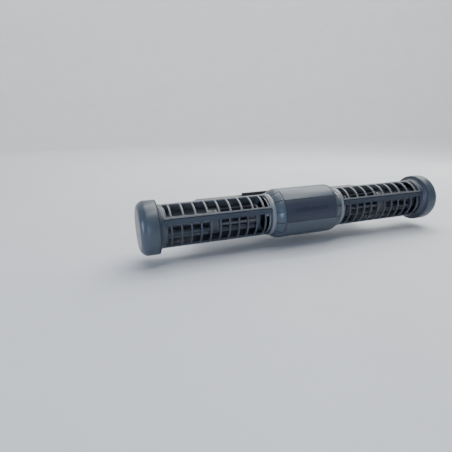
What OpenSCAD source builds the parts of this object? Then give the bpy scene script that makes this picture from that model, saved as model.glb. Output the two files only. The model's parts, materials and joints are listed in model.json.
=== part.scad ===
// Wave maker pump for an aquarium. A potted motor in the middle turns two long
// paddle rotors, each inside its own grille cage, and a magnet bar behind the
// motor holds everything on the tank's glass. The glass pad's back face is the
// plane y = 0, +X runs along the rotors, +Y points at the glass and +Z is up.

/* [Pump] */
// Length over both end caps
pump_l = 345; // [340:1:350]
// Outer diameter of the end caps
cap_d = 52; // [51.8:0.1:53]
// Outer diameter of the motor barrel
barrel_d = 51.5; // [51.5:0.1:51.7]
// Outer diameter of the grille cages
cage_d = 42; // [42:0.1:42.4]
// Distance from the rotor axis to the glass
glass_gap = 50; // [50:0.5:52]
// Degrees that the front panel looks up
panel_tilt = 15; // [8:1:18]

/* [Grilles] */
// Ribs across each upper grille
upper_ribs = 9; // [7:1:9]
// Ribs across each lower grille
lower_ribs = 11; // [9:1:11]
// Width of a rib
rib_w = 2; // [1.6:0.1:2.4]

/* [Rotor] */
// Outer diameter of the paddle rotors
rotor_d = 25.6; // [24:0.1:26]
// Paddles around each stage of a rotor
paddles = 9; // [8:1:10]

/* [Magnet bar] */
// Length of the magnet bar
bar_l = 217; // [217:1:219]
// Height of the magnet pods
pod_h = 27; // [26:0.5:28]
// Bore of the grommet that holds the power cable
cable_d = 6.4; // [6:0.1:6.8]

/* [Hidden] */
$fn = 96;
SMALL_FN = 48;
CAP_R = cap_d / 2;
BARREL_R = barrel_d / 2;
CAGE_R = cage_d / 2;
ROTOR_R = rotor_d / 2;
FIT = 0.1;              // gap left between two pieces that turn or slide
SEAM = 0.3;             // visible line between two pieces of the casing

// Stations along +X, the same on both sides of the motor
SHELL_X = 29.4;                     // end of the motor barrel
COLLAR_X0 = SHELL_X + SEAM;         // index collar, the rounded shoulder
COLLAR_X1 = 38.7;
BASE_X1 = 42.4;                     // end of the cage's base ring
END_X = pump_l / 2;                 // outer face of the end cap
CAP_X = END_X - 16.8;               // open rim of the end cap
FLARE_X1 = CAP_X - SEAM;            // flare ring, between cage and cap
FLARE_X0 = FLARE_X1 - 4.8;
CAGE_X0 = BASE_X1;
CAGE_X1 = FLARE_X0;
ROTOR_X0 = 52.8;                    // inner face of the paddle rotor
ROTOR_X1 = CAGE_X1 - 1.1;           // its outer face
DRUM_L = 9.2;                       // solid drum between its two stages
DISC_T = 2;                         // its end discs
FIRST_PADDLE = 142;                 // angle of the first paddle of the outer stage

// Motor
SHELL_WALL = 2.25;
SHELL_BORE_R = BARREL_R - SHELL_WALL;
PANEL_ANGLE = 26.5;                 // half of the arc that the front panel covers
PANEL_T = 1.1;
SPIGOT_R = 17.5;                    // the cages turn on this
CAN_R = 10.3;
CAN_WALL = 0.9;
STATOR_R = 20.5;
STATOR_X = 13;
SHAFT_R = 2.5;
MAGNET_R = 9.2;
MAGNET_X = 14;
BUSHING_R = 5.5;
BUSHING_X0 = 18;
BELL_X0 = 24;                       // inner face of the end bell's disc
BELL_BOSS_R = 14.5;
BELL_BOSS_X0 = 20;
MARK_STEP = 27;                     // degrees between the collar's index marks
MARK_W = 0.7;
MARK_DEEP = 0.5;
SHOULDER_X = 34.5;                  // the shoulder's curve bends towards this station
SHOULDER_DROP = 0.65;               // and this far below the barrel
BOSS_ANGLES = [95, 215, 335];       // where the bell screws go
BELL_SCREW_R = 21.5;
SHELL_SEAL_X = 26.7;                // the seal between a bell and the shell

// Cage
CAGE_BORE_R = CAGE_R - 1.8;
RIM_R = CAGE_R + 0.6;                // base ring, just outside the cage
UPPER_EDGE = 14.8;                  // degrees from the panel's middle up to the upper grille
BAND_TOP = 12.2;                    // the same, to the top of the lower grille's proud band
BAND_FOOT = 1.7;                    // and to the band's foot
BAND_PROUD = 0.4;
GROOVE_DEEP = 0.9;                  // of the groove between the upper grille and the band
BACK_SEAM = 13.5;                   // degrees below straight back where the halves meet
SEAM_ARC = 0.8;                     // width of that seam in degrees
HOOP = 1.4;                         // solid hoop at each end of a grille
UPPER_PITCH = 11.6;
LOWER_PITCH = 9.4;
UPPER_WINDOWS = [[108.7, 160.5], [0, 19.5]];    // angles between which each row is open
LOWER_WINDOWS = [[180, 251.3], [266, 288]];
RIB_SUNK = 0.1;                     // ribs lie this far below the sheet, on both faces
GRILLE_MID = (CAGE_X0 + CAGE_X1) / 2 + 0.8;
SLEEVE_R = CAGE_BORE_R - FIT;       // rings that the grilles snap over

// End cap and outer bearing
LIP_T = 0.7;
CAP_FLOOR_X = END_X - 3;            // inner face of the cap
CAP_BORE_R = CAP_R - 2.6;
CAP_SPIGOT_R = CAP_BORE_R - 0.4;
LUG_R = CAP_SPIGOT_R - 1.3;
LUG_ARC = 24;
TWIST = 20;                         // degrees that unlock the cap
PIN_R = 2;
END_BUSH_R = 4.2;
RUBBER_R = 6.6;

// Swivel between the pump and the magnet bar
SADDLE_R0 = BARREL_R + 0.85;
SADDLE_R1 = SADDLE_R0 + 2.6;
SADDLE_X = 11;
SADDLE_ARC = 41;
SLOT_X = 4.5;
SLOT_ARC = 36;
SHOE_ARC = 9;
SHOE_HEAD_X = 7;
SHOE_HEAD_T = 1.8;
SADDLE_SCREWS = [for (x = [-15, 15], z = [-8, 8]) [x, z]];
SADDLE_LUG_X = 19;
SADDLE_LUG_Z = 12;
SADDLE_LUG_T = 2.4;
SADDLE_CHEEK_X = 8;                 // inner face of the cheeks beside the shoe
SADDLE_CHEEK_Z = 16;
SADDLE_HOLE_R = 1.35;

// Magnet bar, measured back from the rotor axis
BAR_FRONT = SADDLE_R1 + 0.1;
BAR_BACK = glass_gap - 2;
BRIDGE_X = 54;
BRIDGE_Z = 18.8;
BRIDGE_WALL = 3;
BRIDGE_CORE_X = 22;                 // the bridge is solid up to this station
SHOE_ROOM = [9, 5, 12.2];           // half width, depth and half height of the shoe's room
FLANGE_T = 3.2;
POD_WALL = 2.5;
POD_COVER_T = 2;
POD_END_T = 9;                      // depth of a pod at its outer end
BLOCK_T = 12;                       // thickness of the block magnet
PAD_X = 102;
POCKET_X0 = BRIDGE_X + 6;           // room for the magnet in its pod
POCKET_X1 = PAD_X - 6;
POD_SCREWS = [for (x = [BRIDGE_X + 3, PAD_X - 3], z = [-8, 8]) [x, z]];

// Holes for screws: radius where the screw cuts its thread, and where it passes through
POD_THREAD_R = 0.85;
COVER_CLEAR_R = 0.95;
COVER_SINK_R = 1.7;                 // countersink for the head
BAR_THREAD_R = 1.05;
BAR_CLEAR_R = 1.1;
BELL_THREAD_R = 0.85;
BELL_CLEAR_R = 1.15;
SHOE_THREAD_R = 0.95;
SHOE_CLEAR_R = 1.15;
SHOE_SINK_R = 1.9;

// Cable gland
GLAND_X = 18;
GLAND_ANGLE = -65;                  // degrees up from straight back
GLAND_R = 4.9;
GLAND_TIP_R = 4.2;
GLAND_TIP = 32;                     // distance of the tip from the rotor axis
GROMMET_R = cable_d / 2 + 0.6;
GROMMET_BASE = BARREL_R - 0.3;
GLAND_NECK_R = 3.9;                 // threaded neck through the shell
GLAND_WIRE_R = 2.6;                 // way for the wires inside the neck
GLAND_NUT_R = 5;
GLAND_SUNK = 0.9;                   // depth of its seat in the shell

// ---------- helpers ----------

// Moves a shape drawn around the rotor axis to its place in front of the glass
module at_axis() translate([0, -glass_gap, 0]) children();

// Turns the pump so that its front panel looks up
module tilted() at_axis() rotate([-panel_tilt, 0, 0]) children();

// Extrudes a section along X: its first axis is +Y, its second is +Z
module along_x(x0, x1) {
    translate([x0, 0, 0]) rotate([90, 0, 90]) linear_extrude(x1 - x0) children();
}

// Turns a profile of [radius, station] points round the X axis
module turned() rotate([0, 90, 0]) rotate_extrude() children();

module tube_x(r1, r0, x0, x1) {
    along_x(x0, x1) difference() {
        circle(r1);
        circle(r0);
    }
}

module rod_x(r, x0, x1) along_x(x0, x1) circle(r);

// Part of a ring from angle a0 to a1: 0 is back, 90 is up and 180 is the front
module sector(r0, r1, a0, a1) {
    reach = 3 * r1;
    intersection() {
        difference() {
            circle(r1);
            circle(r0);
        }
        polygon(concat([[0, 0]], [for (k = [0:4]) let (a = a0 + (a1 - a0) * k / 4)
            [reach * cos(a), reach * sin(a)]]));
    }
}

module mirrored_left() mirror([1, 0, 0]) children();

// A box from its lowest to its highest corner
module span_box(low, high) translate(low) cube(high - low);

// A screw that points along -Z from z = 0, with its head above
module screw(d, l, head_d, head_h) {
    translate([0, 0, -l]) cylinder(d = d, h = l, $fn = SMALL_FN);
    difference() {
        cylinder(d = head_d, h = head_h, $fn = SMALL_FN);
        translate([0, 0, head_h / 2]) cylinder(d = head_d / 2.2, h = head_h, $fn = 6);
    }
}

// ---------- magnet bar, fixed to the glass ----------

module mount_bridge() color([0.13, 0.14, 0.16]) at_axis() difference() {
    union() {
        span_box([-BRIDGE_X, BAR_FRONT, -BRIDGE_Z], [BRIDGE_X, BAR_FRONT + FLANGE_T, BRIDGE_Z]);
        span_box([-BRIDGE_X, BAR_FRONT, -pod_h / 2], [BRIDGE_X, BAR_BACK, pod_h / 2]);
    }
    // room for the shoe behind the saddle
    span_box([-SHOE_ROOM[0], BAR_FRONT - 1, -SHOE_ROOM[2]],
             [SHOE_ROOM[0], BAR_FRONT + SHOE_ROOM[1], SHOE_ROOM[2]]);
    for (p = SADDLE_SCREWS) translate([p[0], BAR_FRONT - 1, p[1]])
        rotate([-90, 0, 0]) cylinder(r = SADDLE_HOLE_R, h = 9, $fn = SMALL_FN);
    // pockets from the back make the bar a shell
    for (s = [0, 1]) mirror([s, 0, 0])
        span_box([BRIDGE_CORE_X, BAR_FRONT + BRIDGE_WALL, -pod_h / 2 + BRIDGE_WALL],
                 [BRIDGE_X - BRIDGE_WALL, BAR_BACK + 1, pod_h / 2 - BRIDGE_WALL]);
    bar_screw_places() cylinder(r = BAR_CLEAR_R, h = 10, center = true, $fn = SMALL_FN);
}

module swivel_saddle() color([0.16, 0.17, 0.19]) at_axis() difference() {
    union() {
        along_x(-SADDLE_X, SADDLE_X) sector(SADDLE_R0, SADDLE_R1, -SADDLE_ARC, SADDLE_ARC);
        for (s = [0, 1]) mirror([s, 0, 0]) {
            along_x(SADDLE_CHEEK_X, SADDLE_X) difference() {
                translate([0, -SADDLE_CHEEK_Z]) square([BAR_FRONT, 2 * SADDLE_CHEEK_Z]);
                circle(SADDLE_R0 + 1);
            }
            span_box([SADDLE_X - 1, BAR_FRONT - SADDLE_LUG_T, -SADDLE_LUG_Z],
                     [SADDLE_LUG_X, BAR_FRONT, SADDLE_LUG_Z]);
        }
    }
    // the shoe's neck runs in this slot, and its head behind it
    along_x(-SLOT_X, SLOT_X) sector(SADDLE_R0 - 2, SADDLE_R1 + 2, -SLOT_ARC, SLOT_ARC);
    along_x(-SHOE_HEAD_X - 0.5, SHOE_HEAD_X + 0.5)
        sector(SADDLE_R1, SADDLE_R1 + 4, -SADDLE_ARC - 5, SADDLE_ARC + 5);
    for (p = SADDLE_SCREWS) translate([p[0], 0, p[1]])
        rotate([-90, 0, 0]) cylinder(r = SADDLE_HOLE_R, h = BAR_FRONT + 1, $fn = SMALL_FN);
    rod_x(SADDLE_R0, -SADDLE_LUG_X - 1, SADDLE_LUG_X + 1);
}

// Two rubber strips between the barrel and the saddle
module saddle_liner() color([0.08, 0.08, 0.09]) at_axis() {
    for (x = [-SADDLE_X + 0.5, SLOT_X + 0.5])
        along_x(x, x + SADDLE_X - SLOT_X - 1)
            sector(BARREL_R + 0.06, SADDLE_R0, -SADDLE_ARC + 1, SADDLE_ARC - 1);
}

module saddle_screws() color([0.7, 0.7, 0.72]) at_axis() {
    for (p = SADDLE_SCREWS) translate([p[0], BAR_FRONT - SADDLE_LUG_T, p[1]])
        rotate([90, 0, 0]) screw(2.5, 9, 4.2, 0.7);
}

// Plan of a magnet pod, in X and distance back from the rotor axis
module pod_plan(inset) {
    end = bar_l / 2 - inset;
    polygon([
        [BRIDGE_X + inset, BAR_FRONT + inset], [end, BAR_FRONT + inset],
        [end, BAR_FRONT + POD_END_T], [PAD_X - inset, BAR_BACK - POD_COVER_T],
        [BRIDGE_X + inset, BAR_BACK - POD_COVER_T]
    ]);
}

module magnet_pod() color([0.2, 0.21, 0.23]) at_axis() difference() {
    translate([0, 0, -pod_h / 2]) linear_extrude(pod_h) pod_plan(0);
    span_box([POCKET_X0, BAR_FRONT + POD_WALL, -pod_h / 2 + POD_WALL],
             [POCKET_X1, BAR_BACK, pod_h / 2 - POD_WALL]);
    for (p = POD_SCREWS) translate([p[0], BAR_BACK - POD_COVER_T + 1, p[1]])
        rotate([90, 0, 0]) cylinder(r = POD_THREAD_R, h = 8, $fn = SMALL_FN);
    bar_screw_places() cylinder(r = BAR_THREAD_R, h = 22, center = true, $fn = SMALL_FN);
}

module pod_cover() color([0.11, 0.11, 0.12]) at_axis() difference() {
    span_box([BRIDGE_X, BAR_BACK - POD_COVER_T, -pod_h / 2], [PAD_X, BAR_BACK, pod_h / 2]);
    for (p = POD_SCREWS) translate([p[0], BAR_BACK + 0.5, p[1]]) rotate([90, 0, 0]) {
        cylinder(r = COVER_SINK_R, h = 1.7, $fn = SMALL_FN);
        cylinder(r = COVER_CLEAR_R, h = POD_COVER_T + 1, $fn = SMALL_FN);
    }
}

module pod_magnet() color([0.6, 0.6, 0.62]) at_axis()
    span_box([POCKET_X0 + 0.5, BAR_BACK - POD_COVER_T - BLOCK_T, -pod_h / 2 + POD_WALL + 0.1],
             [POCKET_X1 - 0.5, BAR_BACK - POD_COVER_T - 0.05, pod_h / 2 - POD_WALL - 0.1]);

// Countersunk screws of both covers, flush under the pad
module pod_screws() color([0.7, 0.7, 0.72]) at_axis() {
    for (s = [0, 1], p = POD_SCREWS) mirror([s, 0, 0])
        translate([p[0], BAR_BACK - 1.2, p[1]]) rotate([-90, 0, 0]) screw(1.6, 6, 3.2, 1);
}

// Two screws through each end wall of the bridge into the pod beside it
module bar_screw_places() {
    for (s = [-1, 1], z = [-6, 6]) translate([s * (BRIDGE_X - 3), BAR_FRONT + 9.5, z])
        rotate([0, -s * 90, 0]) children();
}

module bar_screws() color([0.7, 0.7, 0.72]) at_axis() bar_screw_places() screw(2, 8, 4, 1.2);

module glass_pad() color([0.07, 0.07, 0.08]) at_axis()
    translate([0, BAR_BACK, 0]) rotate([-90, 0, 0]) linear_extrude(glass_gap - BAR_BACK) {
        corner = 5;
        pad_z = pod_h / 2 - 0.5;
        square([2 * (PAD_X - corner), 2 * pad_z], center = true);
        square([2 * PAD_X, 2 * (pad_z - corner)], center = true);
        for (x = [-1, 1], z = [-1, 1])
            translate([x * (PAD_X - corner), z * (pad_z - corner)]) circle(corner);
    }

// ---------- motor ----------

module motor_shell() color([0.27, 0.3, 0.33]) difference() {
    tilted() difference() {
        union() {
            tube_x(BARREL_R, SHELL_BORE_R, -SHELL_X, SHELL_X);
            // ribs that carry the stator and take the bell screws
            for (a = BOSS_ANGLES) {
                along_x(-BELL_X0 + FIT, BELL_X0 - FIT)
                    sector(STATOR_R + 0.05, SHELL_BORE_R + 0.5, a - 8, a + 8);
            }
            // thicker wall behind the swivel shoe
            along_x(-SLOT_X, SLOT_X)
                sector(STATOR_R + 0.05, SHELL_BORE_R + 0.5, panel_tilt - 15, panel_tilt + 15);
        }
        along_x(-SHELL_X - 1, SHELL_X + 1)
            sector(BARREL_R - PANEL_T, BARREL_R + 2, 180 - PANEL_ANGLE, 180 + PANEL_ANGLE);
        bell_screw_places() cylinder(r = BELL_THREAD_R, h = 24, center = true, $fn = SMALL_FN);
    }
    at_axis() {
        along_x(-SLOT_X + 0.5 - 0.05, SLOT_X - 0.5 + 0.05)
            sector(BARREL_R - 0.75, BARREL_R + 2, -SHOE_ARC - 0.1, SHOE_ARC + 0.1);
        shoe_screw_places() translate([0, 0, -10]) cylinder(r = SHOE_THREAD_R, h = 20, $fn = SMALL_FN);
        gland_place() {
            translate([0, 0, BARREL_R - GLAND_SUNK]) cylinder(r = GLAND_R + 0.05, h = 9);
            cylinder(r = GLAND_NECK_R + 0.05, h = 40);
        }
    }
}

// The curved cover in the front of the barrel
module front_panel() color([0.2, 0.22, 0.26]) tilted() {
    edge = 0.6;
    along_x(-SHELL_X, SHELL_X) sector(BARREL_R - PANEL_T, BARREL_R - 0.12,
        180 - PANEL_ANGLE + edge, 180 + PANEL_ANGLE - edge);
}

module bell_screw_places() {
    for (s = [-1, 1], a = BOSS_ANGLES)
        translate([s * SHELL_X, BELL_SCREW_R * cos(a), BELL_SCREW_R * sin(a)])
            rotate([0, s * 90, 0]) children();
}

module end_bell() color([0.14, 0.15, 0.17]) tilted() difference() {
    union() {
        rod_x(SHELL_BORE_R - 0.05, BELL_X0, SHELL_X);
        rod_x(BELL_BOSS_R, BELL_BOSS_X0, BELL_X0 + 1);
        rod_x(SPIGOT_R, SHELL_X - 1, COLLAR_X1 + 0.9);
        // bayonet lugs that keep the collar on
        for (a = [0, 120, 240]) along_x(COLLAR_X1 + 0.9, COLLAR_X1 + 2.6)
            sector(SPIGOT_R - 2, SPIGOT_R + 1, a, a + 50);
        tube_x(SPIGOT_R - 0.01, SPIGOT_R - 2.5, COLLAR_X1, COLLAR_X1 + 2.6);
    }
    rod_x(SPIGOT_R - 2.5, SHELL_X + 2, COLLAR_X1 + 9);
    // seat of the can, its seal and the bushing
    rod_x(CAN_R + CAN_WALL + 0.05, BELL_BOSS_X0 - 1, BELL_X0 + 3);
    rod_x(BELL_BOSS_R - 1.9, BELL_BOSS_X0 + 1.5, BELL_BOSS_X0 + 3.1);
    rod_x(BUSHING_R, BELL_BOSS_X0 - 1, SHELL_X + 9);
    for (a = BOSS_ANGLES) translate([0, BELL_SCREW_R * cos(a), BELL_SCREW_R * sin(a)])
        rod_x(BELL_CLEAR_R, BELL_X0 - 1, SHELL_X + 1);
    // groove of the shell's seal
    tube_x(SHELL_BORE_R + 1, SHELL_BORE_R - 0.75, SHELL_SEAL_X - 0.4, SHELL_SEAL_X + 0.4);
}

module bell_screws() color([0.7, 0.7, 0.72]) tilted() bell_screw_places() {
    translate([0, 0, -11]) cylinder(r = 0.8, h = 10.2, $fn = SMALL_FN);
    translate([0, 0, -1]) cylinder(r = 1.1, h = 0.8, $fn = SMALL_FN);
}

TEETH = 6;
TOOTH_W = 5;
module stator_core() color([0.55, 0.56, 0.58]) tilted() along_x(-STATOR_X, STATOR_X) {
    difference() {
        circle(STATOR_R);
        circle(STATOR_R - 3.5);
    }
    for (k = [0:TEETH - 1]) rotate(k * 360 / TEETH) {
        translate([CAN_R + CAN_WALL + 1.2, -TOOTH_W / 2])
            square([STATOR_R - CAN_R - CAN_WALL - 2, TOOTH_W]);
        sector(CAN_R + CAN_WALL + 0.1, CAN_R + CAN_WALL + 1.9, -24, 24);
    }
}

COIL_W = 9.4;
COIL_X = 17.8;
module stator_coils() color([0.72, 0.4, 0.2]) tilted() {
    for (k = [0:TEETH - 1]) rotate([k * 360 / TEETH, 0, 0]) difference() {
        span_box([-COIL_X, CAN_R + CAN_WALL + 2.1, -COIL_W / 2],
                 [COIL_X, CAN_R + CAN_WALL + 5, COIL_W / 2]);
        span_box([-STATOR_X - 0.1, 0, -TOOTH_W / 2 - 0.1],
                 [STATOR_X + 0.1, STATOR_R, TOOTH_W / 2 + 0.1]);
    }
}

CAN_X = BELL_X0 + 1.8;
module rotor_can() color([0.8, 0.8, 0.82]) tilted()
    tube_x(CAN_R + CAN_WALL, CAN_R, -CAN_X, CAN_X);

module ring_seal(r, section_r, x) {
    turned() translate([r, x]) circle(section_r, $fn = 24);
}

module o_rings() color([0.05, 0.05, 0.05]) tilted() {
    for (s = [-1, 1]) {
        ring_seal(CAN_R + CAN_WALL + 0.7, 0.68, s * (BELL_BOSS_X0 + 2.3));
        ring_seal(SHELL_BORE_R - 0.37, 0.35, s * SHELL_SEAL_X);
    }
}

// Ceramic bushings in a plastic hub, one at each end of the can
module bushings() color([0.92, 0.92, 0.9]) tilted() {
    for (s = [0, 1]) mirror([s, 0, 0]) {
        tube_x(BUSHING_R, SHAFT_R + 0.05, BUSHING_X0, SHELL_X + 1.5);
        tube_x(CAN_R - 0.05, BUSHING_R, BUSHING_X0 + 2, BELL_X0 + 2.9);
    }
}

module wiring_board() color([0.1, 0.35, 0.18]) tilted()
    along_x(BELL_BOSS_X0 - 0.8, BELL_BOSS_X0 + 0.8)
        sector(BELL_BOSS_R + 0.5, STATOR_R - 0.5, 232, 350);

module shoe_screw_places() {
    for (a = [-5, 5]) rotate([a, 0, 0]) translate([0, SADDLE_R1, 0])
        rotate([-90, 0, 0]) children();
}

// T-shaped shoe on the barrel's back: it swings in the saddle's slot
module swivel_shoe() color([0.16, 0.17, 0.19]) at_axis() difference() {
    union() {
        along_x(-SLOT_X + 0.5, SLOT_X - 0.5)
            sector(BARREL_R - 0.7, SADDLE_R1 + 1, -SHOE_ARC, SHOE_ARC);
        along_x(-SHOE_HEAD_X, SHOE_HEAD_X)
            sector(SADDLE_R1 + 0.15, SADDLE_R1 + 0.15 + SHOE_HEAD_T, -SHOE_ARC, SHOE_ARC);
    }
    shoe_screw_places() {
        translate([0, 0, -10]) cylinder(r = SHOE_CLEAR_R, h = 20, $fn = SMALL_FN);
        translate([0, 0, 0.9]) cylinder(r = SHOE_SINK_R, h = 9, $fn = SMALL_FN);
    }
}

module shoe_screws() color([0.7, 0.7, 0.72]) at_axis() shoe_screw_places() {
    translate([0, 0, -8]) cylinder(r = 0.9, h = 9, $fn = SMALL_FN);
    translate([0, 0, 0.95]) cylinder(r = 1.8, h = 0.9, $fn = SMALL_FN);
}

// Points +Z out along the cable gland
module gland_place() translate([GLAND_X, 0, 0]) rotate([GLAND_ANGLE - 90, 0, 0]) children();

module cable_gland() color([0.12, 0.12, 0.13]) at_axis() gland_place() difference() {
    union() {
        translate([0, 0, BARREL_R - GLAND_SUNK]) cylinder(r = GLAND_R, h = 2.4);
        translate([0, 0, BARREL_R + 1.5])
            cylinder(r1 = GLAND_R, r2 = GLAND_TIP_R, h = GLAND_TIP - BARREL_R - 1.5);
        translate([0, 0, SHELL_BORE_R - 2.2]) cylinder(r = GLAND_NECK_R, h = 4);
    }
    translate([0, 0, GROMMET_BASE]) cylinder(r = GROMMET_R, h = 12);
    translate([0, 0, SHELL_BORE_R - 3]) cylinder(r = GLAND_WIRE_R, h = 12);
}

module gland_grommet() color([0.05, 0.05, 0.05]) at_axis() gland_place() difference() {
    translate([0, 0, GROMMET_BASE]) cylinder(r = GROMMET_R, h = GLAND_TIP - GROMMET_BASE);
    cylinder(r = cable_d / 2, h = 50);
}

module gland_nut() color([0.75, 0.7, 0.4]) at_axis() gland_place() difference() {
    translate([0, 0, SHELL_BORE_R - 2.1]) cylinder(r = GLAND_NUT_R, h = 1.5, $fn = 6);
    cylinder(r = GLAND_NECK_R, h = 40);
}

// ---------- rotor, turning with the shaft ----------

module rotor_magnet() color([0.5, 0.5, 0.53]) tilted()
    tube_x(MAGNET_R, SHAFT_R, -MAGNET_X, MAGNET_X);

module magnet_sleeve() color([0.15, 0.15, 0.16]) tilted() difference() {
    rod_x(MAGNET_R + 0.5, -MAGNET_X - 1.2, MAGNET_X + 1.2);
    rod_x(MAGNET_R, -MAGNET_X, MAGNET_X);
    rod_x(SHAFT_R, -MAGNET_X - 2, MAGNET_X + 2);
}

HUB_X0 = 44;
HUB_END = 60;
module drive_shaft() color([0.93, 0.93, 0.9]) tilted()
    rod_x(SHAFT_R, -HUB_END + 4, HUB_END - 4);

module thrust_washers() color([0.95, 0.95, 0.92]) tilted() {
    for (s = [0, 1]) mirror([s, 0, 0])
        tube_x(6.5, SHAFT_R + 0.02, MAGNET_X + 1.4, BUSHING_X0 - 0.4);
}

// Pushed on the shaft: its hexagon drives the paddle rotor
HEX_R = 5;
HUB_R = 6.3;
module drive_hub() color([0.3, 0.3, 0.32]) tilted() difference() {
    union() {
        rod_x(HUB_R, HUB_X0, ROTOR_X0 - 0.2);
        along_x(ROTOR_X0 - 0.2, HUB_END) circle(HEX_R, $fn = 6);
    }
    rod_x(SHAFT_R, HUB_X0 - 1, HUB_END - 4);
}

PADDLE_R0 = 8;
PADDLE_T = 1.1;
CORE_R = 8.4;                         // the rotor's core round the hub's hexagon
NOSE_R = 4;                           // and round the pin at its outer end
// A curved paddle, starting on the first section axis
module paddle_section() {
    curve_r = 4.2;
    intersection() {
        difference() {
            circle(ROTOR_R - 0.1);
            circle(PADDLE_R0);
        }
        translate([PADDLE_R0 + 2.35, curve_r - 1]) difference() {
            circle(curve_r);
            circle(curve_r - PADDLE_T);
        }
        translate([PADDLE_R0 - 1, -2]) square([ROTOR_R, 3.6]);
    }
}

// One stage of paddles, turned on by `phase` degrees
module paddle_stage(x0, x1, phase) {
    along_x(x0, x1) for (k = [0:paddles - 1])
        rotate(phase + k * 360 / paddles) paddle_section();
}

module paddle_rotor() color([0.24, 0.26, 0.28]) tilted() {
    mid = (ROTOR_X0 + ROTOR_X1) / 2;
    difference() {
        union() {
            rod_x(ROTOR_R, ROTOR_X0, ROTOR_X0 + DISC_T);
            rod_x(CORE_R, ROTOR_X0, HUB_END + 2);
            rod_x(ROTOR_R, mid - DRUM_L / 2, mid + DRUM_L / 2);
            rod_x(ROTOR_R, ROTOR_X1 - DISC_T, ROTOR_X1);
            rod_x(NOSE_R, ROTOR_X1 - 8, ROTOR_X1);
            paddle_stage(ROTOR_X0 + 1, mid, FIRST_PADDLE + 180 / paddles);
            paddle_stage(mid, ROTOR_X1 - 1, FIRST_PADDLE);
        }
        along_x(ROTOR_X0 - 1, HUB_END + 0.5) circle(HEX_R + 0.1, $fn = 6);
        rod_x(PADDLE_R0 - 1, mid - DRUM_L / 2 + 1.5, mid + DRUM_L / 2 - 1.5);
        rod_x(3, mid - DRUM_L / 2 - 1, mid + DRUM_L / 2 + 1);
        rod_x(PIN_R, ROTOR_X1 - 6, ROTOR_X1 + 1);
    }
}

module rotor_pin() color([0.93, 0.93, 0.9]) tilted()
    rod_x(PIN_R, ROTOR_X1 - 6, ROTOR_X1 + 7);

// ---------- cages, which turn on the motor's spigots ----------

// A point of the curve from a to c that bends towards b
function bend(a, b, c, t) = (1 - t) * (1 - t) * a + 2 * t * (1 - t) * b + t * t * c;

// Half section of the rounded shoulder, `deep` below its surface
module shoulder_profile(deep) {
    steps = 10;
    lower = [-deep, 0];
    polygon(concat(
        [[SPIGOT_R + FIT, COLLAR_X0]],
        [for (k = [0:steps]) lower + bend([BARREL_R, COLLAR_X0],
            [BARREL_R - SHOULDER_DROP, SHOULDER_X], [RIM_R, COLLAR_X1], k / steps)],
        [[SPIGOT_R + FIT, COLLAR_X1]]
    ));
}

module index_collar() color([0.26, 0.29, 0.33]) tilted() difference() {
    turned() shoulder_profile(0);
    difference() {
        for (k = [-4:4]) along_x(COLLAR_X0 + 1.2, COLLAR_X1 + 1) rotate(180 + k * MARK_STEP)
            translate([SPIGOT_R + 1, -MARK_W / 2]) square([BARREL_R, MARK_W]);
        turned() shoulder_profile(MARK_DEEP);
    }
}

module cage_base_ring() color([0.34, 0.37, 0.4]) tilted() {
    turned() polygon([
        [SPIGOT_R + 1.2, COLLAR_X1], [RIM_R - 0.3, COLLAR_X1],
        [RIM_R, COLLAR_X1 + 0.3], [RIM_R, BASE_X1 - 0.6], [CAGE_R, BASE_X1],
        [SLEEVE_R, BASE_X1], [SLEEVE_R, BASE_X1 + 3], [SPIGOT_R + 1.2, BASE_X1 + 3]
    ]);
}

// Windows between `ribs` ribs, from angle a0 to a1
module windows(ribs, pitch, a0, a1) {
    along_x(CAGE_X0 - 1, CAGE_X1 + 1) difference() {
        sector(CAGE_BORE_R - 2, CAGE_R + 2, a0, a1);
        difference() {
            circle(CAGE_R - RIB_SUNK);
            circle(CAGE_BORE_R + RIB_SUNK);
        }
    }
    for (k = [0:ribs]) {
        low = k == 0 ? CAGE_X0 + HOOP : GRILLE_MID + (k - (ribs + 1) / 2) * pitch + rib_w / 2;
        high = k == ribs ? CAGE_X1 - HOOP
            : GRILLE_MID + (k - (ribs - 1) / 2) * pitch - rib_w / 2;
        along_x(low, high) sector(CAGE_BORE_R - 2, CAGE_R + 2, a0, a1);
    }
}

// Half of a cage: a row of windows over its front, and a short one straight behind
module upper_grille() color([0.33, 0.35, 0.37]) tilted() difference() {
    along_x(CAGE_X0, CAGE_X1)
        sector(CAGE_BORE_R, CAGE_R, -BACK_SEAM + SEAM_ARC, 180 - UPPER_EDGE);
    for (w = UPPER_WINDOWS) windows(upper_ribs, UPPER_PITCH, w[0], w[1]);
}

module lower_grille() color([0.25, 0.27, 0.3]) tilted() {
    difference() {
        along_x(CAGE_X0, CAGE_X1)
            sector(CAGE_BORE_R, CAGE_R, 180 - BAND_TOP, 360 - BACK_SEAM);
        for (w = LOWER_WINDOWS) windows(lower_ribs, LOWER_PITCH, w[0], w[1]);
    }
    along_x(CAGE_X0, CAGE_X1)
        sector(CAGE_R - 1, CAGE_R + BAND_PROUD, 180 - BAND_TOP, 180 - BAND_FOOT);
    // the tongue at the bottom of the groove
    along_x(CAGE_X0, CAGE_X1)
        sector(CAGE_BORE_R, CAGE_R - GROOVE_DEEP, 180.3 - UPPER_EDGE, 181 - BAND_TOP);
}

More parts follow.
